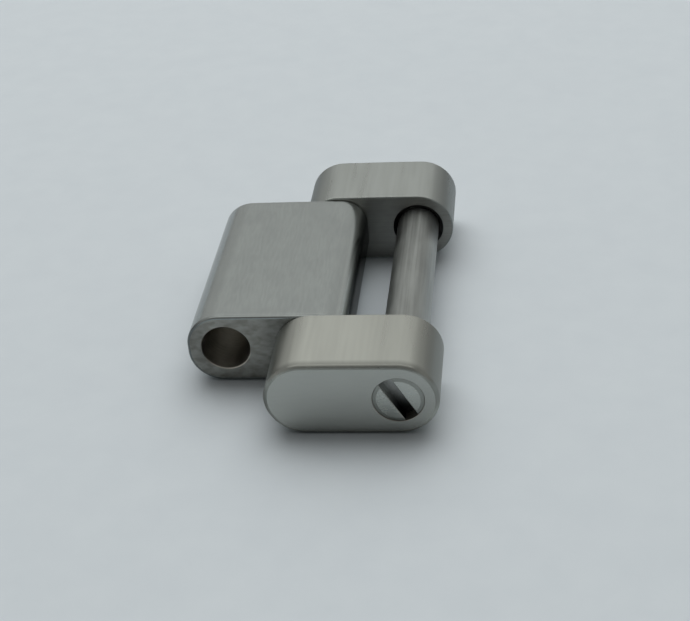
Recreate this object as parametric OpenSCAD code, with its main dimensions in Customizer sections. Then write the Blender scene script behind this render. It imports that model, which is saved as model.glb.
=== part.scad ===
// Screwed bracelet link: two outer links, a centre link that swings on a hidden pressed pin,
// and a slotted screw that crosses the open end and holds the next link's centre piece.
// X runs along the bracelet, Y across it and Z up from the underside.
// The hidden pivot lies over the origin. The screw goes in from the front, at -Y.

/* [Outer links] */
// Distance from the hidden pivot to the screw
outer_pitch = 3.9; // [3.7:0.1:6]
// Width of each outer link across the bracelet
outer_w = 3.8; // [3.3:0.1:6]
// Thickness of the outer links, whose ends are half rounds
outer_t = 3.4; // [3.2:0.1:5]
// Rounding along the rim of the polished side face
side_rim = 0.16; // [0.04:0.01:0.3]
// Rounding along the rim of the inward face
inner_rim = 0.05; // [0.02:0.01:0.15]

/* [Centre link] */
// Distance from the open bore to the hidden pivot
centre_pitch = 3.9; // [3.4:0.1:6]
// Width of the centre link across the bracelet
centre_w = 10.3; // [6:0.1:16]
// How far the centre link's top lies below the outer links' tops
centre_drop = 0.1; // [0:0.02:0.3]
// From the open bore's axis to the end of the link
bore_end = 1.7; // [1.6:0.02:2.1]
// From the pivot's axis to the other end of the link
pivot_end = 1.45; // [1.3:0.05:1.9]
// Height of the flat left between the rounded corners of each end
end_flat = 0.34; // [0.1:0.02:0.8]
// Rounding along the rims of both side faces
centre_rim = 0.1; // [0.02:0.01:0.2]
// Chamfer at the mouths of both bores
mouth_chamfer = 0.06; // [0.02:0.01:0.12]

/* [Pivot pin] */
// Diameter of the pressed pin
pivot_d = 1.6; // [1.2:0.1:2]
// Metal left between each blind pivot hole and the side face
pivot_cover = 1.2; // [0.6:0.1:2]
// Chamfer at both ends of the pin
pivot_chamfer = 0.12; // [0.05:0.01:0.2]
// Air left past each end of the pin
pivot_air = 0.1; // [0.05:0.01:0.3]

/* [Link screw] */
// Diameter of the shank and of the thread
shank_d = 2; // [1.4:0.1:2.1]
// Radial step from the shank to the head
head_step = 0.07; // [0.07:0.01:0.2]
// Length of the head
head_l = 0.8; // [0.6:0.05:1.5]
// Chamfer round the head
head_chamfer = 0.15; // [0.05:0.01:0.2]
// Width of the slot
slot_w = 0.5; // [0.3:0.05:0.7]
// Depth of the slot
slot_depth = 0.55; // [0.3:0.05:0.7]
// Angle of the slot, in degrees up from +X
slot_angle = -60; // [-90:5:90]
// Pitch of the thread
thread_pitch = 0.4; // [0.2:0.05:0.5]
// Depth of the thread
thread_depth = 0.2; // [0.1:0.01:0.25]
// Chamfer at the tip
tip_chamfer = 0.1; // [0.05:0.01:0.2]
// Air left past the tip
tip_air = 0.3; // [0.1:0.05:0.5]
// Metal left between the tapped hole and the rear side face
tap_cover = 0.9; // [0.5:0.1:1.2]
// Countersink at the tapped hole's mouth
tap_chamfer = 0.19; // [0.05:0.01:0.25]

/* [Fits] */
// Gap between the centre link and each outer link
side_gap = 0.05; // [0.03:0.01:0.12]
// Radial clearance of the centre link on the pivot pin
pivot_clearance = 0.05; // [0.02:0.01:0.1]
// Radial clearance of the screw in the outer links
screw_clearance = 0.03; // [0.02:0.01:0.06]
// Radial clearance of a neighbour's screw in the open bore
bore_clearance = 0.07; // [0.03:0.01:0.1]

/* [Hidden] */
$fn = 96;
// Steps in the curve of a rounded rim
RIM_STEPS = 6;
// How far a cut runs past the face that it leaves
overrun = 0.5;
// Flat at the thread's crest, as a share of its pitch
CREST_SHARE = 0.125;

axis_z = outer_t / 2;
centre_t = outer_t - centre_drop;
centre_corner = (centre_t - end_flat) / 2;
inner_y = centre_w / 2 + side_gap;
side_y = inner_y + outer_w;
pivot_depth = outer_w - pivot_cover;
pivot_half = inner_y + pivot_depth - pivot_air;
shank_r = shank_d / 2;
head_r = shank_r + head_step;
root_r = shank_r - thread_depth;
seat_y = side_y - head_l;
bore_r = shank_r + bore_clearance;
tap_depth = outer_w - tap_cover;
tip_y = inner_y + tap_depth - tip_air;
thread_turns = floor((tap_depth - tip_air - tip_chamfer) / thread_pitch);
thread_start = tip_y - tip_chamfer - thread_turns * thread_pitch;

// Points along an arc
function arc_points(centre, radius, start, stop) = [
    for (i = [0:RIM_STEPS])
        let (a = start + (stop - start) * i / RIM_STEPS)
        centre + radius * [cos(a), sin(a)]
];

// Both rounded rims at the outer edge of a section: reach outwards, low to high across
function rims(reach, low, high, rim_low, rim_high) = concat(
    arc_points([reach - rim_low, low + rim_low], rim_low, -90, 0),
    arc_points([reach - rim_high, high - rim_high], rim_high, 0, 90)
);

// The section from its middle line out to the rims
function half_section(reach, low, high, rim_low, rim_high) =
    concat([[0, low]], rims(reach, low, high, rim_low, rim_high), [[0, high]]);

// The section with rims on both sides
function whole_section(reach, low, high, rim_low, rim_high) =
    let (side = rims(reach, low, high, rim_low, rim_high), last = len(side) - 1)
    concat(side, [for (i = [last:-1:0]) [-side[i][0], side[i][1]]]);

// Turns a shape's +Z to the front and its +Y up, over a place along X
module facing_front(x, z) {
    translate([x, 0, z]) rotate([90, 0, 0]) children();
}

// A quarter of a rounded end
module quarter_round(x, z, start, corner, low, high, rim_low, rim_high) {
    facing_front(x, z)
        rotate([0, 0, start])
            rotate_extrude(angle = 90)
                polygon(half_section(corner, low, high, rim_low, rim_high));
}

// A flat-topped link body with rounded ends, from x0 to x1 and low to high towards the front
module link_body(x0, x1, thick, corner, low, high, rim_low, rim_high) {
    left = x0 + corner;
    right = x1 - corner;
    top = thick - corner;
    quarter_round(right, top, 0, corner, low, high, rim_low, rim_high);
    quarter_round(left, top, 90, corner, low, high, rim_low, rim_high);
    quarter_round(left, corner, 180, corner, low, high, rim_low, rim_high);
    quarter_round(right, corner, 270, corner, low, high, rim_low, rim_high);
    translate([left, 0, thick / 2])
        rotate([180, -90, 0])
            linear_extrude(right - left)
                polygon(whole_section(thick / 2, low, high, rim_low, rim_high));
    if (top > corner) {
        translate([left, 0, corner])
            rotate([0, 0, 180])
                linear_extrude(top - corner)
                    polygon(half_section(corner, low, high, rim_low, rim_high));
        translate([right, 0, top])
            rotate([180, 0, 0])
                linear_extrude(top - corner)
                    polygon(half_section(corner, low, high, rim_low, rim_high));
    }
}

// A round hole along the pin axis at x, from start to stop towards the front
module drilled(x, radius, start, stop) {
    facing_front(x, axis_z)
        translate([0, 0, start])
            cylinder(r = radius, h = stop - start);
}

// A countersink at a mouth that looks to the front
module front_countersink(x, radius, chamfer, face) {
    facing_front(x, axis_z)
        translate([0, 0, face - chamfer])
            cylinder(r1 = radius, r2 = radius + chamfer + overrun, h = chamfer + overrun);
}

// A countersink at a mouth that looks to the rear
module rear_countersink(x, radius, chamfer, face) {
    facing_front(x, axis_z)
        translate([0, 0, face - overrun])
            cylinder(r1 = radius + chamfer + overrun, r2 = radius, h = chamfer + overrun);
}

module front_outer_link() {
    color([0.64, 0.64, 0.60])
        difference() {
            link_body(-axis_z, outer_pitch + axis_z, outer_t, axis_z,
                inner_y, side_y, inner_rim, side_rim);
            drilled(0, pivot_d / 2, inner_y - overrun, inner_y + pivot_depth);
            drilled(outer_pitch, shank_r + screw_clearance, inner_y - overrun, side_y);
            drilled(outer_pitch, head_r + screw_clearance, seat_y, side_y + overrun);
        }
}

module rear_outer_link() {
    color([0.64, 0.64, 0.60])
        difference() {
            link_body(-axis_z, outer_pitch + axis_z, outer_t, axis_z,
                -side_y, -inner_y, side_rim, inner_rim);
            drilled(0, pivot_d / 2, -inner_y - pivot_depth, -inner_y + overrun);
            drilled(outer_pitch, shank_r + screw_clearance, -inner_y - tap_depth, -inner_y + overrun);
            front_countersink(outer_pitch, shank_r + screw_clearance, tap_chamfer, -inner_y);
        }
}

module centre_link() {
    half = centre_w / 2;
    pivot_bore_r = pivot_d / 2 + pivot_clearance;
    color([0.62, 0.64, 0.62])
        difference() {
            link_body(-centre_pitch - bore_end, pivot_end, centre_t, centre_corner,
                -half, half, centre_rim, centre_rim);
            drilled(-centre_pitch, bore_r, -half - overrun, half + overrun);
            drilled(0, pivot_bore_r, -half - overrun, half + overrun);
            front_countersink(-centre_pitch, bore_r, mouth_chamfer, half);
            rear_countersink(-centre_pitch, bore_r, mouth_chamfer, -half);
            front_countersink(0, pivot_bore_r, mouth_chamfer, half);
            rear_countersink(0, pivot_bore_r, mouth_chamfer, -half);
        }
}

module pivot_pin() {
    radius = pivot_d / 2;
    color([0.72, 0.72, 0.70])
        facing_front(0, axis_z)
            rotate_extrude()
                polygon([
                    [0, -pivot_half],
                    [radius - pivot_chamfer, -pivot_half],
                    [radius, -pivot_half + pivot_chamfer],
                    [radius, pivot_half - pivot_chamfer],
                    [radius - pivot_chamfer, pivot_half],
                    [0, pivot_half]
                ]);
}

// The thread as V grooves, listed from the shank to the tip
thread_points = [
    for (i = [0:thread_turns - 1])
        let (y = -thread_start - i * thread_pitch, crest = thread_pitch * CREST_SHARE / 2)
        each [
            [shank_r, y - crest],
            [root_r, y - thread_pitch / 2],
            [shank_r, y - thread_pitch + crest]
        ]
];

module link_screw() {
    color([0.70, 0.69, 0.66])
        facing_front(outer_pitch, axis_z)
            difference() {
                rotate_extrude()
                    polygon(concat(
                        [
                            [0, side_y],
                            [head_r - head_chamfer, side_y],
                            [head_r, side_y - head_chamfer],
                            [head_r, seat_y],
                            [shank_r, seat_y]
                        ],
                        thread_points,
                        [
                            [shank_r, -tip_y + tip_chamfer],
                            [shank_r - tip_chamfer, -tip_y],
                            [0, -tip_y]
                        ]
                    ));
                rotate([0, 0, slot_angle])
                    translate([-head_r - overrun, -slot_w / 2, side_y - slot_depth])
                        cube([2 * (head_r + overrun), slot_w, slot_depth + overrun]);
            }
}

front_outer_link();
rear_outer_link();
centre_link();
pivot_pin();
link_screw();
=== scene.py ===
import math

import bmesh
import bpy
from mathutils import Matrix, Vector


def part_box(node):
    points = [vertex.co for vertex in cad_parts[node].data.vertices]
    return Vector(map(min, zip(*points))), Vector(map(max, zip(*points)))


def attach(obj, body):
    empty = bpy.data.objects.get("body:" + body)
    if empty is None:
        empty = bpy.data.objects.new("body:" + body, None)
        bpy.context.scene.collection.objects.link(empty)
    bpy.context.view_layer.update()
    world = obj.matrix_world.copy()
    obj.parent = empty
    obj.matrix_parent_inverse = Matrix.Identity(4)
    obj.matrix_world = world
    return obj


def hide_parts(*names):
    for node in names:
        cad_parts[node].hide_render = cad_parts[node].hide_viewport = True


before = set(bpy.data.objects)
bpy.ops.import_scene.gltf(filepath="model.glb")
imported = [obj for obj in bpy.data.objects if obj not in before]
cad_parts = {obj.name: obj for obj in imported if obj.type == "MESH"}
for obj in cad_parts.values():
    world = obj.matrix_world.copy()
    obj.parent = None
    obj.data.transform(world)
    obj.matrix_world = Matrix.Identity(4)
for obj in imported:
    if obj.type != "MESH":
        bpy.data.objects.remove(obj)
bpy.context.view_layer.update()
MM = 0.001


# Viewpoint of the photograph. The camera is held close and a little askew, and looks down at the link
# from its screw side. Its place was worked out from the link's outline in the picture.
PICTURE_WIDTH = 690
PICTURE_FOCAL = 1430.3
SENSOR_WIDTH = 36.0
LOOK_AT = Vector((1.038, -2.251, 1.7)) * MM
CAMERA_DISTANCE = 64.073 * MM
CAMERA_YAW = math.radians(-8.712)
CAMERA_PITCH = math.radians(32.57)
CAMERA_ROLL = math.radians(-5.407)
NEAREST_SEEN = 5 * MM
FARTHEST_SEEN = 5000 * MM

ahead = Vector((
    math.sin(CAMERA_YAW) * math.cos(CAMERA_PITCH),
    math.cos(CAMERA_YAW) * math.cos(CAMERA_PITCH),
    -math.sin(CAMERA_PITCH),
))
level_right = ahead.cross(Vector((0, 0, 1))).normalized()
level_up = level_right.cross(ahead)
camera_right = math.cos(CAMERA_ROLL) * level_right + math.sin(CAMERA_ROLL) * level_up
camera_up = math.cos(CAMERA_ROLL) * level_up - math.sin(CAMERA_ROLL) * level_right

camera = bpy.data.objects.new("camera", bpy.data.cameras.new("camera"))
camera.data.sensor_width = SENSOR_WIDTH
camera.data.lens = PICTURE_FOCAL / PICTURE_WIDTH * SENSOR_WIDTH
camera.data.clip_start = NEAREST_SEEN
camera.data.clip_end = FARTHEST_SEEN
camera.location = LOOK_AT - CAMERA_DISTANCE * ahead
camera.rotation_euler = Matrix((camera_right, camera_up, -ahead)).transposed().to_euler()
bpy.context.scene.collection.objects.link(camera)
bpy.context.scene.camera = camera
bpy.context.scene.view_settings.view_transform = "Standard"


# Table. A smooth pale board, wide enough to fill every view, with the faint unevenness of matt paint.
# The link lies on it with its flat undersides.
TABLE_HALF = 1500 * MM
TABLE_DROP = 0.02 * MM
TABLE_LIGHT = (0.645, 0.70, 0.735, 1)
TABLE_DARK = (0.597, 0.652, 0.692, 1)
TABLE_CLOUD = 1.6 * MM
TABLE_DETAIL = 3
TABLE_ROUGHNESS = 0.7
NOISE_TURN = (0.3, 0.5, 0.4)


def node(tree, kind, inputs=(), **settings):
    """Adds a node. inputs gives its sockets, by name or number, a value or another node's output."""
    made = tree.nodes.new(kind)
    for key, value in settings.items():
        setattr(made, key, value)
    for key, value in dict(inputs).items():
        socket = made.inputs[key]
        if isinstance(value, bpy.types.NodeSocket):
            tree.links.new(value, socket)
        else:
            socket.default_value = value
    return made


def reckon(tree, operation, first, second=0):
    """The result of a Math node."""
    return node(tree, "ShaderNodeMath", {0: first, 1: second}, operation=operation).outputs[0]


def eased(tree, value, start, stop, low, high):
    """Runs smoothly from low to high while the value goes from start to stop."""
    sockets = {0: value, 1: start, 2: stop, 3: low, 4: high}
    return node(tree, "ShaderNodeMapRange", sockets, interpolation_type="SMOOTHSTEP").outputs[0]


def between(tree, share, low, high):
    """Two colours, or two numbers, mixed by a share that runs from 0 to 1."""
    if isinstance(low, tuple):
        mix = node(tree, "ShaderNodeMix", {0: share, 6: low, 7: high}, data_type="RGBA")
        return mix.outputs[2]
    return node(tree, "ShaderNodeMapRange", {0: share, 3: low, 4: high}).outputs[0]


def in_steps(tree, along_x, along_y, along_z):
    """Object coordinates counted in steps of the given lengths, then turned so that no grid shows."""
    where = node(tree, "ShaderNodeTexCoord").outputs["Object"]
    scale = (1 / along_x, 1 / along_y, 1 / along_z)
    sockets = {"Vector": where, "Scale": scale, "Rotation": NOISE_TURN}
    return node(tree, "ShaderNodeMapping", sockets).outputs[0]


def noise(tree, steps, detail):
    """Soft noise between 0 and 1, with blots about one step long."""
    return node(tree, "ShaderNodeTexNoise", {0: steps, "Scale": 1, "Detail": detail}).outputs[0]


def empty_material(name):
    """A new material, and its tree with only the output in it."""
    material = bpy.data.materials.new(name)
    material.use_nodes = True
    material.node_tree.nodes.clear()
    node(material.node_tree, "ShaderNodeOutputMaterial")
    return material, material.node_tree


def show(tree, sockets):
    """Puts a Principled shader with these sockets on the material's output."""
    shader = node(tree, "ShaderNodeBsdfPrincipled", sockets)
    tree.links.new(shader.outputs[0], tree.nodes["Material Output"].inputs[0])


def stand(name, mesh):
    """An object with this mesh, at the origin of the scene."""
    made = bpy.data.objects.new(name, mesh)
    bpy.context.scene.collection.objects.link(made)
    return made


painted_board, tree = empty_material("painted_board")
clouds = noise(tree, in_steps(tree, TABLE_CLOUD, TABLE_CLOUD, TABLE_CLOUD), TABLE_DETAIL)
show(tree, {
    "Base Color": between(tree, clouds, TABLE_DARK, TABLE_LIGHT),
    "Roughness": TABLE_ROUGHNESS,
})
board = bpy.data.meshes.new("table")
board.from_pydata([
    (-TABLE_HALF, -TABLE_HALF, -TABLE_DROP),
    (TABLE_HALF, -TABLE_HALF, -TABLE_DROP),
    (TABLE_HALF, TABLE_HALF, -TABLE_DROP),
    (-TABLE_HALF, TABLE_HALF, -TABLE_DROP),
], [], [(0, 1, 2, 3)])
board.materials.append(painted_board)
stand("table", board)


# Light. A wide round soft lamp hangs high behind the link and lights the table. The steel mirrors a
# bright patch of the room in the same place. The room gets dim towards the horizon, and the camera and
# whoever holds it keep light off the near side.
LAMP_WIDTH = 680 * MM
LAMP_DISTANCE = 500 * MM
LAMP_TURN = math.radians(8)
LAMP_HEIGHT = math.radians(51)
LAMP_POWER = 1.76
PATCH_MIDDLE = -0.03
PATCH_INSIDE = 0.5
PATCH_OUTSIDE = 0.6
PATCH_LOW = 0.60
PATCH_HIGH = 0.76
PATCH_FRONT = -0.15
PATCH_BACK = 0.2
PATCH_LEVEL = 0.72
SKY_SINE = 0.36
SKY_LEVEL = 0.46
HORIZON_LEVEL = 0.37
FRONT_START = -0.5
FRONT_STOP = 0.15
FRONT_LEVEL = 0.1
SHADE_EDGE = math.cos(math.radians(50))
SHADE_FULL = math.cos(math.radians(20))
SHADE_LEVEL = 0.5
ROOM_COLOUR = (1.0, 1.0, 0.97, 1)
BACKDROP_COLOUR = (0.52, 0.57, 0.59, 1)

lamp_way = Vector((
    -math.sin(LAMP_TURN) * math.cos(LAMP_HEIGHT),
    math.cos(LAMP_TURN) * math.cos(LAMP_HEIGHT),
    math.sin(LAMP_HEIGHT),
))
lamp_light = bpy.data.lights.new("soft_lamp", "AREA")
lamp_light.shape = "DISK"
lamp_light.size = LAMP_WIDTH
lamp_light.energy = LAMP_POWER
lamp = stand("soft_lamp", lamp_light)
lamp.visible_camera = False
lamp.visible_glossy = False
lamp.location = LOOK_AT + LAMP_DISTANCE * lamp_way
lamp.rotation_euler = lamp_way.to_track_quat("Z", "Y").to_euler()

room = bpy.data.worlds.new("room")
room.use_nodes = True
bpy.context.scene.world = room
tree = room.node_tree
tree.nodes.clear()
way = node(tree, "ShaderNodeTexCoord").outputs["Generated"]
parts = node(tree, "ShaderNodeSeparateXYZ", {0: way})
sideways = reckon(tree, "ABSOLUTE", reckon(tree, "SUBTRACT", parts.outputs["X"], PATCH_MIDDLE))
patch = reckon(
    tree, "MULTIPLY",
    eased(tree, sideways, PATCH_OUTSIDE, PATCH_INSIDE, 0, PATCH_LEVEL),
    reckon(
        tree, "MULTIPLY",
        eased(tree, parts.outputs["Z"], PATCH_LOW, PATCH_HIGH, 0, 1),
        eased(tree, parts.outputs["Y"], PATCH_FRONT, PATCH_BACK, 0, 1),
    ),
)
sky = eased(tree, parts.outputs["Z"], 0, SKY_SINE, HORIZON_LEVEL, SKY_LEVEL)
facing = node(
    tree, "ShaderNodeVectorMath", {0: way, 1: -ahead}, operation="DOT_PRODUCT",
).outputs["Value"]
mirrored_front = eased(tree, facing, SHADE_EDGE, SHADE_FULL, 1, SHADE_LEVEL)
lighting_front = eased(tree, parts.outputs["Y"], FRONT_START, FRONT_STOP, FRONT_LEVEL, 1)
rays = node(tree, "ShaderNodeLightPath").outputs
front = between(tree, rays["Diffuse Depth"], mirrored_front, lighting_front)
level = reckon(tree, "ADD", reckon(tree, "MULTIPLY", sky, front), patch)
glow = node(tree, "ShaderNodeBackground", {"Color": ROOM_COLOUR, "Strength": level})
backdrop = node(tree, "ShaderNodeBackground", {"Color": BACKDROP_COLOUR})
seen = node(tree, "ShaderNodeMixShader", {
    0: rays["Is Camera Ray"], 1: glow.outputs[0], 2: backdrop.outputs[0],
})
tree.links.new(seen.outputs[0], node(tree, "ShaderNodeOutputWorld").inputs[0])


# Outer links. Two links of bar steel with half round ends, front and rear. Their tops and ends are
# brushed across the bracelet and their side faces are smooth. The screw's hole runs through the front
# link and is tapped in the rear one, whose hole walls get a dark steel. The pivot's holes are drilled
# blind. The links' steel carries painted shade and painted light in places, listed below.
front_low, front_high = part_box("front_outer_link")
rear_low, rear_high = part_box("rear_outer_link")
pin_low, pin_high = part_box("pivot_pin")
screw_low, screw_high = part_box("link_screw")
OUTER_WIDTH = front_high.y - front_low.y
PIVOT_X = (pin_low.x + pin_high.x) / 2
PIN_RADIUS = (pin_high.x - pin_low.x) / 2
SCREW_X = (screw_low.x + screw_high.x) / 2
AXIS_Z = (screw_low.z + screw_high.z) / 2
HEAD_RADIUS = (screw_high.x - screw_low.x) / 2
HEAD_STEP = 0.07 * MM
HEAD_LENGTH = 0.8 * MM
HEAD_CLEARANCE = 0.01 * MM
SHANK_RADIUS = HEAD_RADIUS - HEAD_STEP
SCREW_CLEARANCE = 0.03 * MM
SIDE_RIM = 0.16 * MM
INNER_RIM = 0.05 * MM
OUTER_CROWN = 0.03 * MM
PIVOT_DEPTH = 2.6 * MM
TAP_DEPTH = 2.9 * MM
TAP_CHAMFER = 0.19 * MM
TAP_GROOVE = 0.1 * MM
THREAD_PITCH = 0.4 * MM
THREAD_TURNS = 6
MOUTH_BREAK = 0.03 * MM
ROUND_STEPS = 96
FILLET_STEPS = 64
RIM_STEPS = 8
ACROSS_STEPS = 36
OUTLINE_STEP = 0.045 * MM
RIM_MARGIN = 0.02 * MM
ROWS_PER_TURN = 16
CREST_SHARE = 0.125
RUNOUT_TURNS = 0.5
GRID_HALF = 0.5
ROOT_SHARE = 0.5
OPEN_EDGE_FACES = 1.5
SHARP_EDGE = math.radians(32)
SAME_PLACE = 0.0005 * MM
FACING_FRONT = Matrix.Rotation(math.radians(90), 4, "X")

# Painted shade: both outer links' rounded ends are made darker, at the near link's screw end only above
# its foot.
SCREW_END = (SCREW_X + 0.7 * MM, SCREW_X + 1.36 * MM)
PIVOT_END = (PIVOT_X - 0.66 * MM, PIVOT_X - 1.34 * MM)
END_LEVEL = 0.56
ABOVE_FOOT = (front_low.z + 0.9 * MM, front_low.z + 1.7 * MM)
# Painted shade on the very tip of the near link's pivot end, dimming what it mirrors.
PIVOT_TIP = (PIVOT_X - 1.42 * MM, PIVOT_X - 1.62 * MM)
PIVOT_TIP_LEVEL = 0.6
# Painted shade along the near link's top front rim.
NEAR_RIM = (front_low.y + 0.5 * MM, front_low.y + 0.12 * MM)
NEAR_TOP = (front_high.z - 0.6 * MM, front_high.z - 0.2 * MM)
NEAR_RIM_LEVEL = 0.6
# Painted shadow along the near link's lower front rim and along the foot of the smooth side faces,
# where they meet the table.
LOW_RIM = (front_low.y + 0.2 * MM, front_low.y + 0.05 * MM)
NEAR_FOOT = (front_low.z + 0.35 * MM, front_low.z + 0.08 * MM)
NEAR_FOOT_LEVEL = 0.6
# The near link's band gets slightly darker towards the screw end.
BAND_TOWARDS_SCREW = (1.6 * MM, 3.4 * MM)
BAND_TOWARDS_SCREW_LEVEL = 0.92
# Painted light: the smooth side faces are made brighter towards their foot.
FACE_FOOT = (front_low.z + 1.6 * MM, front_low.z + 0.3 * MM)
FACE_FOOT_LEVEL = 1.2
# The outer links are the same steel; the far link's copy is painted darker, as shade.
NEAR_LIGHT = (0.54, 0.557, 0.515, 1)
NEAR_DARK = (0.475, 0.488, 0.453, 1)
FAR_LIGHT = (0.47, 0.50, 0.485, 1)
FAR_DARK = (0.415, 0.44, 0.423, 1)
SIDE_LIGHT = (0.43, 0.44, 0.415, 1)
SIDE_DARK = (0.40, 0.41, 0.385, 1)
INNER_LIGHT = (0.345, 0.345, 0.325, 1)
INNER_DARK = (0.26, 0.26, 0.245, 1)
BORE_LIGHT = (0.56, 0.54, 0.49, 1)
BORE_DARK = (0.38, 0.355, 0.32, 1)
DARK_HOLE_LIGHT = (0.22, 0.215, 0.21, 1)
DARK_HOLE_DARK = (0.10, 0.10, 0.105, 1)
BRUSH_GRAIN = (0.26 * MM, 7 * MM, 0.26 * MM)
BRUSH_CLOUD = (0.9 * MM, 4 * MM, 0.9 * MM)
BRUSH_ROUGHNESS = (0.26, 0.34)
BRUSH_RELIEF = 0.0001 * MM
BRUSH_STRETCH = 0.95
NEAR_GLANCING = 0.95
QUARTER_TURN_SHARE = 0.25
MARK_DETAIL = 1
STAIN_DETAIL = 3
NOISE_LOW = 0.3
NOISE_HIGH = 0.7


def steel(name, dark, light, grain, cloud, roughness, relief, stretch=0.0, painted_light_and_tone=(), glancing=1.0):
    """Bare steel. grain and cloud are how long its marks and its stains are along X, Y and Z.
    roughness is given for the smoothest and the dullest spots, and relief is how deep the marks are.
    painted_light_and_tone lists places where the colour is made darker or brighter, most of them
    painted shade and painted light. Each has a level, and for one or more axes where the change starts
    and where it is complete. glancing is how much it mirrors edge on."""
    material, tree = empty_material(name)
    fine = noise(tree, in_steps(tree, *grain), MARK_DETAIL)
    broad = noise(tree, in_steps(tree, *cloud), STAIN_DETAIL)
    marks = eased(tree, fine, NOISE_LOW, NOISE_HIGH, 0, 1)
    stains = eased(tree, broad, NOISE_LOW, NOISE_HIGH, 0, 1)
    mixed = reckon(tree, "DIVIDE", reckon(tree, "ADD", marks, stains), 2)
    colour = between(tree, mixed, dark, light)
    where = node(tree, "ShaderNodeTexCoord").outputs["Object"]
    place = node(tree, "ShaderNodeSeparateXYZ", {0: where}).outputs
    for level, spans in painted_light_and_tone:
        share = 1
        for axis, (start, stop) in spans.items():
            share = reckon(tree, "MULTIPLY", eased(tree, place[axis], start, stop, 0, 1), share)
        scale = between(tree, share, 1, level)
        colour = node(
            tree, "ShaderNodeVectorMath", {0: colour, "Scale": scale}, operation="SCALE",
        ).outputs[0]
    bump = node(tree, "ShaderNodeBump", {"Strength": 1, "Distance": relief, "Height": marks})
    sockets = {
        "Base Color": colour,
        "Metallic": 1,
        "Roughness": between(tree, mixed, *roughness),
        "Normal": bump.outputs[0],
        "Specular Tint": (glancing, glancing, glancing, 1),
    }
    if stretch:
        sockets["Anisotropic"] = stretch
        sockets["Anisotropic Rotation"] = QUARTER_TURN_SHARE
        tangent = node(tree, "ShaderNodeTangent", direction_type="RADIAL", axis="Y")
        sockets["Tangent"] = tangent.outputs[0]
    show(tree, sockets)
    return material


near_brushed_steel = steel(
    "near_brushed_steel", NEAR_DARK, NEAR_LIGHT, BRUSH_GRAIN, BRUSH_CLOUD,
    BRUSH_ROUGHNESS, BRUSH_RELIEF, BRUSH_STRETCH,
    painted_light_and_tone=[
        (END_LEVEL, {"X": SCREW_END, "Z": ABOVE_FOOT}),
        (END_LEVEL, {"X": PIVOT_END}),
        (PIVOT_TIP_LEVEL, {"X": PIVOT_TIP}),
        (NEAR_RIM_LEVEL, {"Y": NEAR_RIM, "Z": NEAR_TOP}),
        (NEAR_FOOT_LEVEL, {"Y": LOW_RIM, "Z": NEAR_FOOT}),
        (BAND_TOWARDS_SCREW_LEVEL, {"X": BAND_TOWARDS_SCREW}),
    ],
    glancing=NEAR_GLANCING,
)
far_brushed_steel = steel(
    "far_brushed_steel", FAR_DARK, FAR_LIGHT, BRUSH_GRAIN, BRUSH_CLOUD,
    BRUSH_ROUGHNESS, BRUSH_RELIEF, BRUSH_STRETCH,
    painted_light_and_tone=[(END_LEVEL, {"X": SCREW_END}), (END_LEVEL, {"X": PIVOT_END})],
)
smooth_steel = steel(
    "smooth_side_steel", SIDE_DARK, SIDE_LIGHT,
    grain=(0.9 * MM, 0.5 * MM, 0.05 * MM), cloud=(1.8 * MM, 1 * MM, 1 * MM),
    roughness=(0.16, 0.24), relief=0.00015 * MM,
    painted_light_and_tone=[(FACE_FOOT_LEVEL, {"Z": FACE_FOOT}), (NEAR_FOOT_LEVEL, {"Z": NEAR_FOOT})],
)
cut_steel = steel(
    "cut_inner_steel", INNER_DARK, INNER_LIGHT,
    grain=(1.5 * MM, 0.5 * MM, 0.05 * MM), cloud=(0.9 * MM, 0.9 * MM, 0.5 * MM),
    roughness=(0.34, 0.46), relief=0.0006 * MM,
)
drilled_steel = steel(
    "drilled_steel", BORE_DARK, BORE_LIGHT,
    grain=(1.2 * MM, 0.05 * MM, 1.2 * MM), cloud=(0.5 * MM, 0.8 * MM, 0.5 * MM),
    roughness=(0.3, 0.48), relief=0.001 * MM,
)
dark_hole_steel = steel(
    "oiled_hole_steel", DARK_HOLE_DARK, DARK_HOLE_LIGHT,
    grain=(0.3 * MM, 0.1 * MM, 0.3 * MM), cloud=(0.5 * MM, 0.8 * MM, 0.5 * MM),
    roughness=(0.3, 0.48), relief=0.0006 * MM,
)


def named_inputs(tree, kinds):
    """Gives a geometry tree its named inputs and its output. Returns the inputs as outlets by name."""
    for name, kind in kinds.items():
        tree.interface.new_socket(name, in_out="INPUT", socket_type="NodeSocket" + kind)
    tree.interface.new_socket("Geometry", in_out="OUTPUT", socket_type="NodeSocketGeometry")
    return node(tree, "NodeGroupInput").outputs


def joined(tree, parts):
    """Several geometries as one."""
    join = node(tree, "GeometryNodeJoinGeometry")
    for part in parts:
        tree.links.new(part, join.inputs[0])
    return join.outputs[0]


def marked(tree, geometry, mark):
    """Marks every face, so that it can be given its own steel later."""
    return node(
        tree, "GeometryNodeStoreNamedAttribute", {"Geometry": geometry, "Name": mark, "Value": True},
        data_type="BOOLEAN", domain="FACE",
    ).outputs[0]


def has_mark(tree, mark):
    """Whether a face was marked."""
    named = node(tree, "GeometryNodeInputNamedAttribute", {"Name": mark}, data_type="BOOLEAN")
    return named.outputs[0]


def position(tree):
    """Where each point lies, as its X, Y and Z."""
    where = node(tree, "GeometryNodeInputPosition").outputs[0]
    return node(tree, "ShaderNodeSeparateXYZ", {0: where}).outputs


def tidied(tree, geometry):
    """Merges what meets, and shades smooth all but the sharp edges."""
    merged = node(tree, "GeometryNodeMergeByDistance", {"Geometry": geometry, "Distance": SAME_PLACE})
    smooth = node(tree, "GeometryNodeSetShadeSmooth", {0: merged.outputs[0], "Shade Smooth": True})
    fold = node(tree, "GeometryNodeInputMeshEdgeAngle").outputs["Unsigned Angle"]
    creased = {
        0: smooth.outputs[0],
        "Selection": reckon(tree, "GREATER_THAN", fold, SHARP_EDGE),
        "Shade Smooth": False,
    }
    return node(tree, "GeometryNodeSetShadeSmooth", creased, domain="EDGE").outputs[0]


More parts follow.
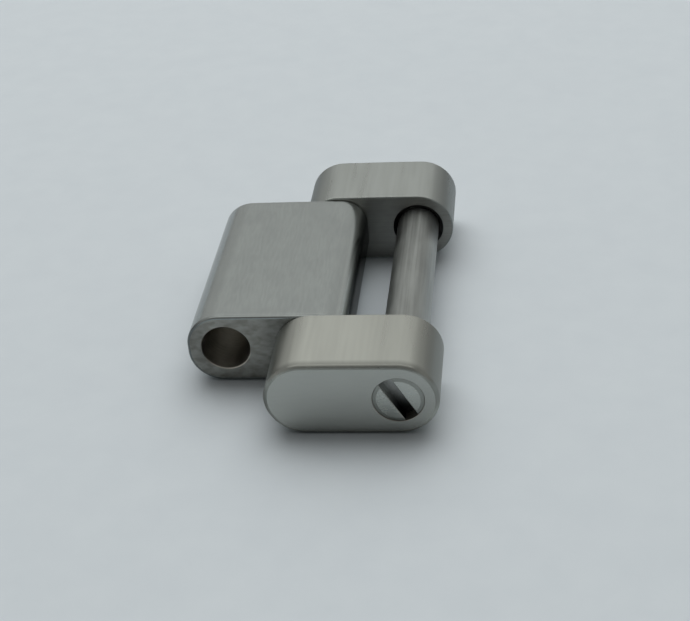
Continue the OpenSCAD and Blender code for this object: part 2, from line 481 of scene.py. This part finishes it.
def link_body_tree():
    """A link's body. It lies along X with its top towards +Y, and its side faces look along Z.
    A rounded band is swept round its outline, and the side faces are filled in round the holes."""
    tree = bpy.data.node_groups.new("link_body", "GeometryNodeTree")
    given = named_inputs(tree, {
        "Length": "Float", "Thickness": "Float", "Width": "Float", "Crown": "Float",
        "Left Corner": "Float", "Right Corner": "Float", "Front Rim": "Float", "Rear Rim": "Float",
        "Hole Walls": "Object",
        "Band Steel": "Material", "Front Steel": "Material", "Rear Steel": "Material",
        "Hole Steel": "Material",
    })
    half_length = reckon(tree, "DIVIDE", given["Length"], 2)
    half_thickness = reckon(tree, "DIVIDE", given["Thickness"], 2)
    half_width = reckon(tree, "DIVIDE", given["Width"], 2)

    bar = node(tree, "GeometryNodeCurvePrimitiveQuadrilateral", {
        "Width": given["Length"], "Height": given["Thickness"],
    })
    at_right = reckon(tree, "GREATER_THAN", position(tree)["X"], 0)
    corner = between(tree, at_right, given["Left Corner"], given["Right Corner"])
    rounded = node(tree, "GeometryNodeFilletCurve", {
        "Curve": bar.outputs[0], "Count": FILLET_STEPS, "Radius": corner, "Limit Radius": True,
    }, mode="POLY")
    spaced = node(tree, "GeometryNodeResampleCurve", {
        "Curve": rounded.outputs[0], "Length": OUTLINE_STEP,
    }, mode="LENGTH")
    spot = position(tree)
    along = reckon(tree, "DIVIDE", spot["X"], half_length)
    upward = reckon(tree, "MAXIMUM", reckon(tree, "DIVIDE", spot["Y"], half_thickness), 0)
    fall = reckon(tree, "MULTIPLY", reckon(tree, "MULTIPLY", along, along), upward)
    drop = reckon(tree, "MULTIPLY", reckon(tree, "MULTIPLY", fall, given["Crown"]), -1)
    outline = node(tree, "GeometryNodeSetPosition", {
        "Geometry": spaced.outputs[0],
        "Offset": node(tree, "ShaderNodeCombineXYZ", {1: drop}).outputs[0],
    })

    def at(outward, across):
        return node(tree, "ShaderNodeCombineXYZ", {0: outward, 1: across}).outputs[0]

    def straight(start, end, steps):
        line = node(tree, "GeometryNodeCurvePrimitiveLine", {"Start": start, "End": end}).outputs[0]
        return node(tree, "GeometryNodeResampleCurve", {0: line, "Count": steps + 1}).outputs[0]

    def quarter(rim, centre, start):
        arc = node(tree, "GeometryNodeCurveArc", {
            "Resolution": RIM_STEPS + 1, "Radius": rim,
            "Start Angle": start, "Sweep Angle": math.radians(90),
        }).outputs[0]
        return node(tree, "GeometryNodeTransform", {0: arc, "Translation": centre}).outputs[0]

    front_in = reckon(tree, "MULTIPLY", given["Front Rim"], -1)
    rear_in = reckon(tree, "MULTIPLY", given["Rear Rim"], -1)
    front_edge = reckon(tree, "MULTIPLY", half_width, -1)
    front_start = reckon(tree, "ADD", front_edge, given["Front Rim"])
    rear_start = reckon(tree, "SUBTRACT", half_width, given["Rear Rim"])
    front_inmost = reckon(tree, "SUBTRACT", front_in, RIM_MARGIN)
    rear_inmost = reckon(tree, "SUBTRACT", rear_in, RIM_MARGIN)
    section = joined(tree, [
        straight(at(front_inmost, front_edge), at(front_in, front_edge), 1),
        quarter(given["Front Rim"], at(front_in, front_start), math.radians(-90)),
        straight(at(0, front_start), at(0, rear_start), ACROSS_STEPS),
        quarter(given["Rear Rim"], at(rear_in, rear_start), 0),
        straight(at(rear_in, half_width), at(rear_inmost, half_width), 1),
    ])
    band = node(tree, "GeometryNodeCurveToMesh", {
        "Curve": outline.outputs[0], "Profile Curve": section,
    })

    walls = node(tree, "GeometryNodeObjectInfo", {"Object": given["Hole Walls"]}).outputs["Geometry"]
    open_body = node(tree, "GeometryNodeMergeByDistance", {
        "Geometry": joined(tree, [band.outputs[0], marked(tree, walls, "hole_wall")]),
        "Distance": SAME_PLACE,
    }).outputs[0]
    edge_faces = node(tree, "GeometryNodeInputMeshEdgeNeighbors").outputs[0]
    is_open = reckon(tree, "LESS_THAN", edge_faces, OPEN_EDGE_FACES)
    across = position(tree)["Z"]

    def side_face(sense):
        is_here = reckon(tree, "GREATER_THAN", reckon(tree, "MULTIPLY", across, sense), 0)
        rims = node(tree, "GeometryNodeMeshToCurve", {
            "Mesh": open_body, "Selection": reckon(tree, "MULTIPLY", is_open, is_here),
        })
        filled = node(tree, "GeometryNodeFillCurve", {0: rims.outputs[0]}).outputs[0]
        height = reckon(tree, "MULTIPLY", half_width, sense)
        lift = node(tree, "ShaderNodeCombineXYZ", {2: height}).outputs[0]
        return node(tree, "GeometryNodeTransform", {0: filled, "Translation": lift}).outputs[0]

    sides = joined(tree, [
        marked(tree, side_face(1), "front_face"),
        marked(tree, side_face(-1), "rear_face"),
    ])
    whole = tidied(tree, joined(tree, [open_body, sides]))
    body = node(tree, "GeometryNodeRealizeInstances", {0: whole}).outputs[0]
    dressed = node(tree, "GeometryNodeSetMaterial", {0: body, "Material": given["Band Steel"]})
    finishes = {"front_face": "Front Steel", "rear_face": "Rear Steel", "hole_wall": "Hole Steel"}
    for mark, finish in finishes.items():
        dressed = node(tree, "GeometryNodeSetMaterial", {
            0: dressed.outputs[0], "Selection": has_mark(tree, mark), "Material": given[finish],
        })
    node(tree, "NodeGroupOutput", {0: dressed.outputs[0]})
    return tree


def helical_thread_tree():
    """A tube along Z from zero down, with V grooves cut into it as a helix that fades at both ends.
    Each row of its grid follows the helix, and the rows are cut off at the tube's ends."""
    tree = bpy.data.node_groups.new("helical_thread", "GeometryNodeTree")
    given = named_inputs(tree, {
        "Radius": "Float", "Groove": "Float", "Pitch": "Float", "Turns": "Int", "Steel": "Material",
    })
    spans = reckon(tree, "ADD", given["Turns"], 1)
    rows = reckon(tree, "ADD", reckon(tree, "MULTIPLY", spans, ROWS_PER_TURN), 1)
    grid = node(tree, "GeometryNodeMeshGrid", {
        "Size X": 1, "Size Y": 1, "Vertices X": ROUND_STEPS + 1, "Vertices Y": rows,
    })
    spot = position(tree)
    round_share = reckon(tree, "ADD", spot["X"], GRID_HALF)
    row_turn = reckon(tree, "MULTIPLY", reckon(tree, "ADD", spot["Y"], GRID_HALF), spans)
    helix_turn = reckon(tree, "SUBTRACT", reckon(tree, "ADD", row_turn, round_share), 1)
    turn = reckon(tree, "MINIMUM", reckon(tree, "MAXIMUM", helix_turn, 0), given["Turns"])

    pitch_share = reckon(tree, "FRACT", row_turn)
    from_root = reckon(tree, "ABSOLUTE", reckon(tree, "SUBTRACT", pitch_share, ROOT_SHARE))
    flank = node(tree, "ShaderNodeMapRange", {
        0: from_root, 1: CREST_SHARE / 2, 2: ROOT_SHARE - CREST_SHARE / 2, 3: 1, 4: 0,
    }).outputs[0]
    start_fade = eased(tree, turn, 0, RUNOUT_TURNS, 0, 1)
    end_fade = eased(tree, reckon(tree, "SUBTRACT", given["Turns"], turn), 0, RUNOUT_TURNS, 0, 1)
    fade = reckon(tree, "MULTIPLY", start_fade, end_fade)
    cut = reckon(tree, "MULTIPLY", reckon(tree, "MULTIPLY", flank, fade), given["Groove"])
    radius = reckon(tree, "SUBTRACT", given["Radius"], cut)
    angle = reckon(tree, "MULTIPLY", round_share, 2 * math.pi)
    wrapped = node(tree, "ShaderNodeCombineXYZ", {
        0: reckon(tree, "MULTIPLY", radius, reckon(tree, "COSINE", angle)),
        1: reckon(tree, "MULTIPLY", radius, reckon(tree, "SINE", angle)),
        2: reckon(tree, "MULTIPLY", reckon(tree, "MULTIPLY", turn, given["Pitch"]), -1),
    })
    tube = node(tree, "GeometryNodeSetPosition", {0: grid.outputs[0], "Position": wrapped.outputs[0]})
    real = node(tree, "GeometryNodeRealizeInstances", {0: tidied(tree, tube.outputs[0])})
    dressed = node(tree, "GeometryNodeSetMaterial", {0: real.outputs[0], "Material": given["Steel"]})
    node(tree, "NodeGroupOutput", {0: dressed.outputs[0]})
    return tree


def grown(tree, values):
    """The plain mesh that a geometry tree makes with these values for its named inputs."""
    host = stand(tree.name, bpy.data.meshes.new(tree.name))
    modifier = host.modifiers.new(tree.name, "NODES")
    modifier.node_group = tree
    for item in tree.interface.items_tree:
        if item.in_out == "INPUT":
            modifier[item.identifier] = values[item.name]
    evaluated = host.evaluated_get(bpy.context.evaluated_depsgraph_get())
    mesh = bpy.data.meshes.new_from_object(evaluated)
    host.modifiers.remove(modifier)
    bpy.data.objects.remove(host)
    return mesh


def ring(shell, radius, height, angles=None):
    """Vertices in a circle about Z. A radius of zero gives the one vertex of a pole."""
    if radius == 0:
        return [shell.verts.new((0, 0, height))]
    turns = angles or [2 * math.pi * i / ROUND_STEPS for i in range(ROUND_STEPS)]
    return [shell.verts.new((radius * math.cos(a), radius * math.sin(a), height)) for a in turns]


def skin(shell, first, second, finish=0):
    """Joins two rings of vertices with faces."""
    count = max(len(first), len(second))
    for i in range(count):
        j = (i + 1) % count
        corners = [
            first[i % len(first)], first[j % len(first)],
            second[j % len(second)], second[i % len(second)],
        ]
        shell.faces.new(list(dict.fromkeys(corners))).material_index = finish


def turned(shell, profile, finish=0):
    """A surface turned about Z through points of radius and height."""
    rings = [ring(shell, radius, height) for radius, height in profile]
    for first, second in zip(rings, rings[1:]):
        skin(shell, first, second, finish)
    return rings


def hole_walls(holes):
    """The walls of some holes, given by their place along the link and their profile."""
    shell = bmesh.new()
    for along, profile in holes:
        rings = turned(shell, profile)
        bmesh.ops.translate(shell, verts=sum(rings, []), vec=(along, 0, 0))
    walls = bpy.data.meshes.new("hole_walls")
    shell.to_mesh(walls)
    shell.free()
    return walls


def blind_hole(radius, mouth, depth):
    """A flat-bottomed hole, drilled from the side face at the height of its mouth."""
    inward = -1 if mouth > 0 else 1
    return [
        (radius + MOUTH_BREAK, mouth),
        (radius, mouth + inward * MOUTH_BREAK),
        (radius, mouth + inward * depth),
        (0, mouth + inward * depth),
    ]


def closed(mesh):
    """Merges a closed shell's doubles and turns all its faces outwards."""
    shell = bmesh.new()
    shell.from_mesh(mesh)
    bmesh.ops.remove_doubles(shell, verts=shell.verts, dist=SAME_PLACE)
    bmesh.ops.recalc_face_normals(shell, faces=shell.faces)
    shell.to_mesh(mesh)
    shell.free()
    return mesh


link_body = link_body_tree()
helical_thread = helical_thread_tree()


def outer_link(name, low, high, holes, rims, finishes):
    """An outer link with its holes, in its place, riding on the outer frame. rims gives the rounding at
    its front and rear side faces, and finishes the steel of its band, both side faces and its holes."""
    middle = (low + high) / 2
    corner = (high.z - low.z) / 2
    front_rim, rear_rim = rims
    band_steel, front_steel, rear_steel, hole_steel = finishes
    walls = stand(name + "_holes", holes)
    mesh = grown(link_body, {
        "Length": high.x - low.x,
        "Thickness": high.z - low.z,
        "Width": high.y - low.y,
        "Left Corner": corner,
        "Right Corner": corner,
        "Crown": OUTER_CROWN,
        "Front Rim": front_rim,
        "Rear Rim": rear_rim,
        "Hole Walls": walls,
        "Band Steel": band_steel,
        "Front Steel": front_steel,
        "Rear Steel": rear_steel,
        "Hole Steel": hole_steel,
    })
    bpy.data.objects.remove(walls)
    mesh.transform(Matrix.Translation(middle) @ FACING_FRONT)
    piece = stand(name, closed(mesh))
    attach(piece, "outer_frame")
    return piece


outer_half = OUTER_WIDTH / 2
outer_middle_x = (front_low.x + front_high.x) / 2
screw_hole = SHANK_RADIUS + SCREW_CLEARANCE
head_hole = HEAD_RADIUS + HEAD_CLEARANCE
seat = outer_half - HEAD_LENGTH

stepped_hole = [
    (head_hole + HEAD_CLEARANCE, outer_half),
    (head_hole, outer_half - HEAD_CLEARANCE),
    (head_hole, seat),
    (screw_hole, seat),
    (screw_hole, MOUTH_BREAK - outer_half),
    (screw_hole + MOUTH_BREAK, -outer_half),
]
front_holes = hole_walls([
    (SCREW_X - outer_middle_x, stepped_hole),
    (PIVOT_X - outer_middle_x, blind_hole(PIN_RADIUS, -outer_half, PIVOT_DEPTH)),
])
front_link = outer_link(
    "near_outer_link", front_low, front_high, front_holes, (SIDE_RIM, INNER_RIM),
    (near_brushed_steel, smooth_steel, cut_steel, drilled_steel),
)
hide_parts("front_outer_link")

tap_start = outer_half - TAP_CHAMFER
tap_end = tap_start - THREAD_TURNS * THREAD_PITCH
tap_floor = outer_half - TAP_DEPTH
tapped_shell = bmesh.new()
tapped_shell.from_mesh(grown(helical_thread, {
    "Radius": screw_hole, "Groove": -TAP_GROOVE, "Pitch": THREAD_PITCH,
    "Turns": THREAD_TURNS, "Steel": drilled_steel,
}))
bmesh.ops.translate(tapped_shell, verts=tapped_shell.verts, vec=(0, 0, tap_start))
turned(tapped_shell, [(screw_hole + TAP_CHAMFER, outer_half), (screw_hole, tap_start)])
turned(tapped_shell, [(screw_hole, tap_end), (screw_hole, tap_floor), (0, tap_floor)])
bmesh.ops.translate(tapped_shell, verts=tapped_shell.verts, vec=(SCREW_X - outer_middle_x, 0, 0))
rear_holes = hole_walls([
    (PIVOT_X - outer_middle_x, blind_hole(PIN_RADIUS, outer_half, PIVOT_DEPTH)),
])
tapped_shell.from_mesh(rear_holes)
tapped_shell.to_mesh(rear_holes)
tapped_shell.free()
rear_link = outer_link(
    "far_outer_link", rear_low, rear_high, rear_holes, (INNER_RIM, SIDE_RIM),
    (far_brushed_steel, cut_steel, smooth_steel, dark_hole_steel),
)
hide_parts("rear_outer_link")


# Centre link. One wide link, a little thinner than the outer ones, with an open bore at its free end
# and the pivot's bore at the other. Its top and ends are a fine satin with painted shade and light in
# places; the hidden end is painted darker and made to mirror less edge on, as shade. Its cut side faces
# show wear from the outer links, with painted shade next to the near one. Both bores are chamfered.
centre_low, centre_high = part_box("centre_link")
FREE_CORNER = 1.48 * MM
HIDDEN_CORNER = 1.2 * MM
CENTRE_RIM = 0.1 * MM
CENTRE_CROWN = 0.03 * MM
BORE_RADIUS = 1.07 * MM
BORE_X = -SCREW_X
PIVOT_CLEARANCE = 0.05 * MM
BORE_CHAMFER = 0.035 * MM
SATIN_LIGHT = (0.50, 0.54, 0.53, 1)
SATIN_DARK = (0.465, 0.50, 0.495, 1)
# Painted shade over the free end's shoulder and rounding, dimming what they mirror.
SHOULDER = (-4.15 * MM, -4.5 * MM)
SHOULDER_LEVEL = 0.9
FREE_END = (-4.66 * MM, -5.2 * MM)
FREE_END_LEVEL = 0.53
# Painted highlight: a brighter strip on the band just before the hidden end.
EDGE_HIGHLIGHT = (0.92 * MM, 1.08 * MM)
EDGE_HIGHLIGHT_LEVEL = 1.22
# Painted shade over the hidden end, and past its start a copy of the satin that mirrors less edge on,
# also as painted shade.
HIDDEN_END = (1.28 * MM, 1.45 * MM)
HIDDEN_END_LEVEL = 0.3
SHADED_END_FROM = 1.4 * MM
# Painted shade in the top's far corner by the hidden end.
FAR_CORNER = (1.16 * MM, 1.32 * MM)
FAR_CORNER_SIDE = (centre_high.y - 2.6 * MM, centre_high.y - 1 * MM)
FAR_CORNER_LEVEL = 0.5
# Painted shade along the top's front rim.
FRONT_RIM = (centre_low.y + 0.2 * MM, centre_low.y + 0.06 * MM)
FRONT_RIM_LEVEL = 0.6
SATIN_GRAIN = (0.1 * MM, 0.7 * MM, 0.1 * MM)
SATIN_CLOUD = (1.2 * MM, 1.6 * MM, 1.2 * MM)
SATIN_ROUGHNESS = (0.19, 0.24)
SATIN_RELIEF = 0.00015 * MM
# Painted shade: the hidden end's copy of the satin mirrors less edge on.
SHADED_END_GLANCING = 0.35
WORN_LIGHT = (0.38, 0.385, 0.36, 1)
WORN_DARK = (0.20, 0.195, 0.175, 1)
SHADED = (-2.4 * MM, -1.8 * MM)
SHADED_LEVEL = 0.75
# The side faces get darker towards the free end.
FACE_FREE_END = (-4.5 * MM, -5 * MM)
FACE_FREE_END_LEVEL = 0.75

satin_steel = steel(
    "satin_centre_steel", SATIN_DARK, SATIN_LIGHT, SATIN_GRAIN, SATIN_CLOUD,
    SATIN_ROUGHNESS, SATIN_RELIEF,
    painted_light_and_tone=[
        (SHOULDER_LEVEL, {"X": SHOULDER}),
        (FREE_END_LEVEL, {"X": FREE_END}),
        (EDGE_HIGHLIGHT_LEVEL, {"X": EDGE_HIGHLIGHT}),
        (HIDDEN_END_LEVEL, {"X": HIDDEN_END}),
        (FAR_CORNER_LEVEL, {"X": FAR_CORNER, "Y": FAR_CORNER_SIDE}),
        (FRONT_RIM_LEVEL, {"Y": FRONT_RIM}),
    ],
)
# The satin's copy for the hidden end, with painted shade: it mirrors less edge on.
shaded_end_steel = steel(
    "greased_end_steel", SATIN_DARK, SATIN_LIGHT, SATIN_GRAIN, SATIN_CLOUD,
    SATIN_ROUGHNESS, SATIN_RELIEF,
    painted_light_and_tone=[(HIDDEN_END_LEVEL, {"X": HIDDEN_END})], glancing=SHADED_END_GLANCING,
)
# The side faces' steel: its own tone, with painted shade next to the near outer link.
wear_and_shade_steel = steel(
    "worn_side_steel", WORN_DARK, WORN_LIGHT,
    grain=(0.4 * MM, 0.5 * MM, 0.22 * MM), cloud=(0.8 * MM, 0.8 * MM, 0.5 * MM),
    roughness=(0.36, 0.48), relief=0.0006 * MM,
    painted_light_and_tone=[(SHADED_LEVEL, {"X": SHADED}), (FACE_FREE_END_LEVEL, {"X": FACE_FREE_END})],
)
centre_half = (centre_high.y - centre_low.y) / 2
centre_middle = (centre_low + centre_high) / 2


def through_bore(radius):
    """A bore through the whole width, with a chamfer at each mouth."""
    return [
        (radius + BORE_CHAMFER, centre_half),
        (radius, centre_half - BORE_CHAMFER),
        (radius, BORE_CHAMFER - centre_half),
        (radius + BORE_CHAMFER, -centre_half),
    ]


bore_walls = hole_walls([
    (BORE_X - centre_middle.x, through_bore(BORE_RADIUS)),
    (PIVOT_X - centre_middle.x, through_bore(PIN_RADIUS + PIVOT_CLEARANCE)),
])
bore_walls.transform(Matrix.Translation((0, AXIS_Z - centre_middle.z, 0)))
bores = stand("centre_bores", bore_walls)
centre_mesh = grown(link_body, {
    "Length": centre_high.x - centre_low.x,
    "Thickness": centre_high.z - centre_low.z,
    "Width": centre_high.y - centre_low.y,
    "Left Corner": FREE_CORNER,
    "Right Corner": HIDDEN_CORNER,
    "Crown": CENTRE_CROWN,
    "Front Rim": CENTRE_RIM,
    "Rear Rim": CENTRE_RIM,
    "Hole Walls": bores,
    "Band Steel": satin_steel,
    "Front Steel": wear_and_shade_steel,
    "Rear Steel": wear_and_shade_steel,
    "Hole Steel": drilled_steel,
})
bpy.data.objects.remove(bores)
centre_mesh.transform(Matrix.Translation(centre_middle) @ FACING_FRONT)
centre_piece = stand("swinging_centre_link", closed(centre_mesh))
# Faces of the band past the hidden end's start take the shaded copy of the satin.
satin_slot = centre_mesh.materials.find(satin_steel.name)
shaded_end_slot = len(centre_mesh.materials)
centre_mesh.materials.append(shaded_end_steel)
for face in centre_mesh.polygons:
    if face.material_index == satin_slot and face.center.x > SHADED_END_FROM:
        face.material_index = shaded_end_slot
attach(centre_piece, "centre")
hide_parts("centre_link")


# Link screw. Turned from bright steel: a slotted head that lies flush in the near link, a bare shank
# across the gap, with painted shade on its flanks where it meets the far link, and six turns of fine
# thread that hold it there.
HEAD_REACH = HEAD_RADIUS - HEAD_CLEARANCE
HEAD_CHAMFER = 0.15 * MM
HEAD_CHAMFER_FALL = 0.035 * MM
SLOT_HALF = 0.3 * MM
SLOT_DEPTH = 0.55 * MM
SLOT_ANGLE = math.radians(-60)
SLOT_BREAK = 0.03 * MM
HEAD_ARC_STEPS = 40
SLOT_END_STEPS = 8
CHORD_STEPS = 8
TIP_CHAMFER = 0.1 * MM
THREAD_DEPTH = 0.2 * MM
FACE_Z = -screw_low.y
TIP_Z = -screw_high.y
SEAT_Z = FACE_Z - HEAD_LENGTH
FLOOR_Z = FACE_Z - SLOT_DEPTH
THREAD_END_Z = TIP_Z + TIP_CHAMFER
THREAD_START_Z = THREAD_END_Z + THREAD_TURNS * THREAD_PITCH
SHANK_FINISH, HEAD_FINISH, SLOT_FINISH, RIM_FINISH = range(4)
SHANK_LIGHT = (0.415, 0.435, 0.425, 1)
SHANK_DARK = (0.30, 0.315, 0.305, 1)
# Painted shade on the shank's flanks next to the far link.
SHADED_FLANK_LEFT = (SCREW_X - 0.3 * MM, SCREW_X - 0.9 * MM)
SHADED_FLANK_LEFT_SPAN = (1.4 * MM, 3.6 * MM)
SHADED_FLANK_RIGHT = (SCREW_X + 0.25 * MM, SCREW_X + 0.8 * MM)
SHADED_FLANK_RIGHT_SPAN = (2.2 * MM, 4 * MM)
SHADED_FLANK_LEVEL = 0.35
HEAD_LIGHT = (0.475, 0.495, 0.465, 1)
HEAD_DARK = (0.425, 0.44, 0.415, 1)
RIM_LIGHT = (0.31, 0.325, 0.305, 1)
RIM_DARK = (0.26, 0.27, 0.25, 1)
SLOT_LIGHT = (0.46, 0.47, 0.46, 1)
SLOT_DARK = (0.35, 0.36, 0.35, 1)
# Painted shade towards the slot's lower end.
SLOT_FOOT = (AXIS_Z + 0.4 * MM, AXIS_Z - 0.75 * MM)
SLOT_FOOT_LEVEL = 0.05

shank_steel = steel(
    "turned_shank_steel", SHANK_DARK, SHANK_LIGHT,
    grain=(0.09 * MM, 4 * MM, 0.09 * MM), cloud=(0.5 * MM, 2 * MM, 0.5 * MM),
    roughness=(0.4, 0.5), relief=0.0012 * MM,
    painted_light_and_tone=[
        (SHADED_FLANK_LEVEL, {"X": SHADED_FLANK_LEFT, "Y": SHADED_FLANK_LEFT_SPAN}),
        (SHADED_FLANK_LEVEL, {"X": SHADED_FLANK_RIGHT, "Y": SHADED_FLANK_RIGHT_SPAN}),
    ],
)
head_steel = steel(
    "turned_head_steel", HEAD_DARK, HEAD_LIGHT,
    grain=(0.3 * MM, 0.3 * MM, 0.06 * MM), cloud=(0.7 * MM, 0.7 * MM, 0.7 * MM),
    roughness=(0.2, 0.3), relief=0.00003 * MM,
)
rim_steel = steel(
    "head_rim_steel", RIM_DARK, RIM_LIGHT,
    grain=(0.08 * MM, 0.3 * MM, 0.08 * MM), cloud=(0.4 * MM, 0.7 * MM, 0.4 * MM),
    roughness=(0.3, 0.4), relief=0.0004 * MM,
)
slot_steel = steel(
    "slot_steel", SLOT_DARK, SLOT_LIGHT,
    grain=(0.08 * MM, 0.08 * MM, 0.08 * MM), cloud=(0.25 * MM, 0.25 * MM, 0.25 * MM),
    roughness=(0.35, 0.5), relief=0.002 * MM,
    painted_light_and_tone=[(SLOT_FOOT_LEVEL, {"Z": SLOT_FOOT})],
)


def slot_end(radius, offset):
    """How far round a circle the edge of the slot meets it."""
    return math.asin(offset / radius)


def half_disc(shell, radius, offset, height, sense):
    """The outline of the metal on one side of the slot: an arc, and a chord along the slot."""
    start = slot_end(radius, offset)
    sweep = math.pi - 2 * start
    arc = [start + sweep * i / HEAD_ARC_STEPS for i in range(HEAD_ARC_STEPS + 1)]
    points = [(radius * math.cos(a), radius * math.sin(a)) for a in arc]
    reach = radius * math.cos(start)
    points += [(reach * (2 * i / CHORD_STEPS - 1), offset) for i in range(1, CHORD_STEPS)]
    return [shell.verts.new((sense * x, sense * y, height)) for x, y in points]


screw = bmesh.new()
screw.from_mesh(grown(helical_thread, {
    "Radius": SHANK_RADIUS, "Groove": THREAD_DEPTH, "Pitch": THREAD_PITCH,
    "Turns": THREAD_TURNS, "Steel": shank_steel,
}))
bmesh.ops.translate(screw, verts=screw.verts, vec=(0, 0, THREAD_START_Z))

floor_corners = []
for sense in (1, -1):
    levels = [
        (HEAD_REACH, SLOT_HALF, FLOOR_Z),
        (HEAD_REACH, SLOT_HALF, FACE_Z - HEAD_CHAMFER_FALL),
        (HEAD_REACH - HEAD_CHAMFER, SLOT_HALF + SLOT_BREAK, FACE_Z),
    ]
    outlines = [half_disc(screw, radius, offset, height, sense) for radius, offset, height in levels]
    skin(screw, outlines[0], outlines[1], HEAD_FINISH)
    skin(screw, outlines[1], outlines[2], RIM_FINISH)
    screw.faces.new(outlines[-1]).material_index = HEAD_FINISH
    floor_corners.append(outlines[0])

slot_start = slot_end(HEAD_REACH, SLOT_HALF)
end_turns = [slot_start * (2 * i / SLOT_END_STEPS - 1) for i in range(1, SLOT_END_STEPS)]
left_end = ring(screw, HEAD_REACH, FLOOR_Z, [math.pi + a for a in end_turns])
right_end = ring(screw, HEAD_REACH, FLOOR_Z, end_turns)
upper_outline, lower_outline = floor_corners
arc_count = HEAD_ARC_STEPS + 1
upper_arc, upper_chord = upper_outline[:arc_count], upper_outline[arc_count:]
lower_arc, lower_chord = lower_outline[:arc_count], lower_outline[arc_count:]
slot_floor = [upper_arc[-1], *left_end, lower_arc[0], *reversed(lower_chord)]
slot_floor += [lower_arc[-1], *right_end, upper_arc[0], *reversed(upper_chord)]
screw.faces.new(slot_floor).material_index = SLOT_FINISH

head_angles = [slot_start + (math.pi - 2 * slot_start) * i / HEAD_ARC_STEPS for i in range(arc_count)]
head_angles += [math.pi + a for a in end_turns]
head_angles += [math.pi + a for a in head_angles[:arc_count]]
head_angles += [2 * math.pi + a for a in end_turns]
floor_ring = [*upper_arc, *left_end, *lower_arc, *right_end]
seat_ring = ring(screw, HEAD_REACH, SEAT_Z, head_angles)
skin(screw, floor_ring, seat_ring, HEAD_FINISH)
shank_rings = turned(screw, [(SHANK_RADIUS, SEAT_Z), (SHANK_RADIUS, THREAD_START_Z)], SHANK_FINISH)
skin(screw, seat_ring, shank_rings[0], HEAD_FINISH)
turned(screw, [
    (SHANK_RADIUS, THREAD_END_Z),
    (SHANK_RADIUS - TIP_CHAMFER, TIP_Z),
    (0, TIP_Z),
], SHANK_FINISH)
for face in screw.faces:
    widest = max(abs(v.co.y) for v in face.verts)
    lowest = min(v.co.z for v in face.verts)
    if widest < SLOT_HALF + SAME_PLACE and lowest > FLOOR_Z - SAME_PLACE:
        face.material_index = SLOT_FINISH
bmesh.ops.remove_doubles(screw, verts=screw.verts, dist=SAME_PLACE)
bmesh.ops.recalc_face_normals(screw, faces=screw.faces)
for face in screw.faces:
    face.smooth = True
for edge in screw.edges:
    edge.smooth = edge.calc_face_angle(0) < SHARP_EDGE
screw_mesh = bpy.data.meshes.new("slotted_link_screw")
screw.to_mesh(screw_mesh)
screw.free()
for finish in (shank_steel, head_steel, slot_steel, rim_steel):
    screw_mesh.materials.append(finish)
slot_turn = Matrix.Rotation(SLOT_ANGLE, 4, "Z")
screw_mesh.transform(Matrix.Translation((SCREW_X, 0, AXIS_Z)) @ FACING_FRONT @ slot_turn)
screw_piece = stand("slotted_link_screw", screw_mesh)
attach(screw_piece, "screw")
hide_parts("link_screw")


# Pivot pin. A plain ground pin, pressed into both outer links, on which the centre link turns. Its
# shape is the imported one, so it only gets its steel.
PIN_LIGHT = (0.62, 0.62, 0.60, 1)
PIN_DARK = (0.54, 0.54, 0.52, 1)
ground_steel = steel(
    "ground_pin_steel", PIN_DARK, PIN_LIGHT,
    grain=(0.5 * MM, 0.03 * MM, 0.5 * MM), cloud=(1 * MM, 1 * MM, 1 * MM),
    roughness=(0.18, 0.26), relief=0.0004 * MM,
)
pivot_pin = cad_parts["pivot_pin"]
pivot_pin.data.materials.clear()
pivot_pin.data.materials.append(ground_steel)
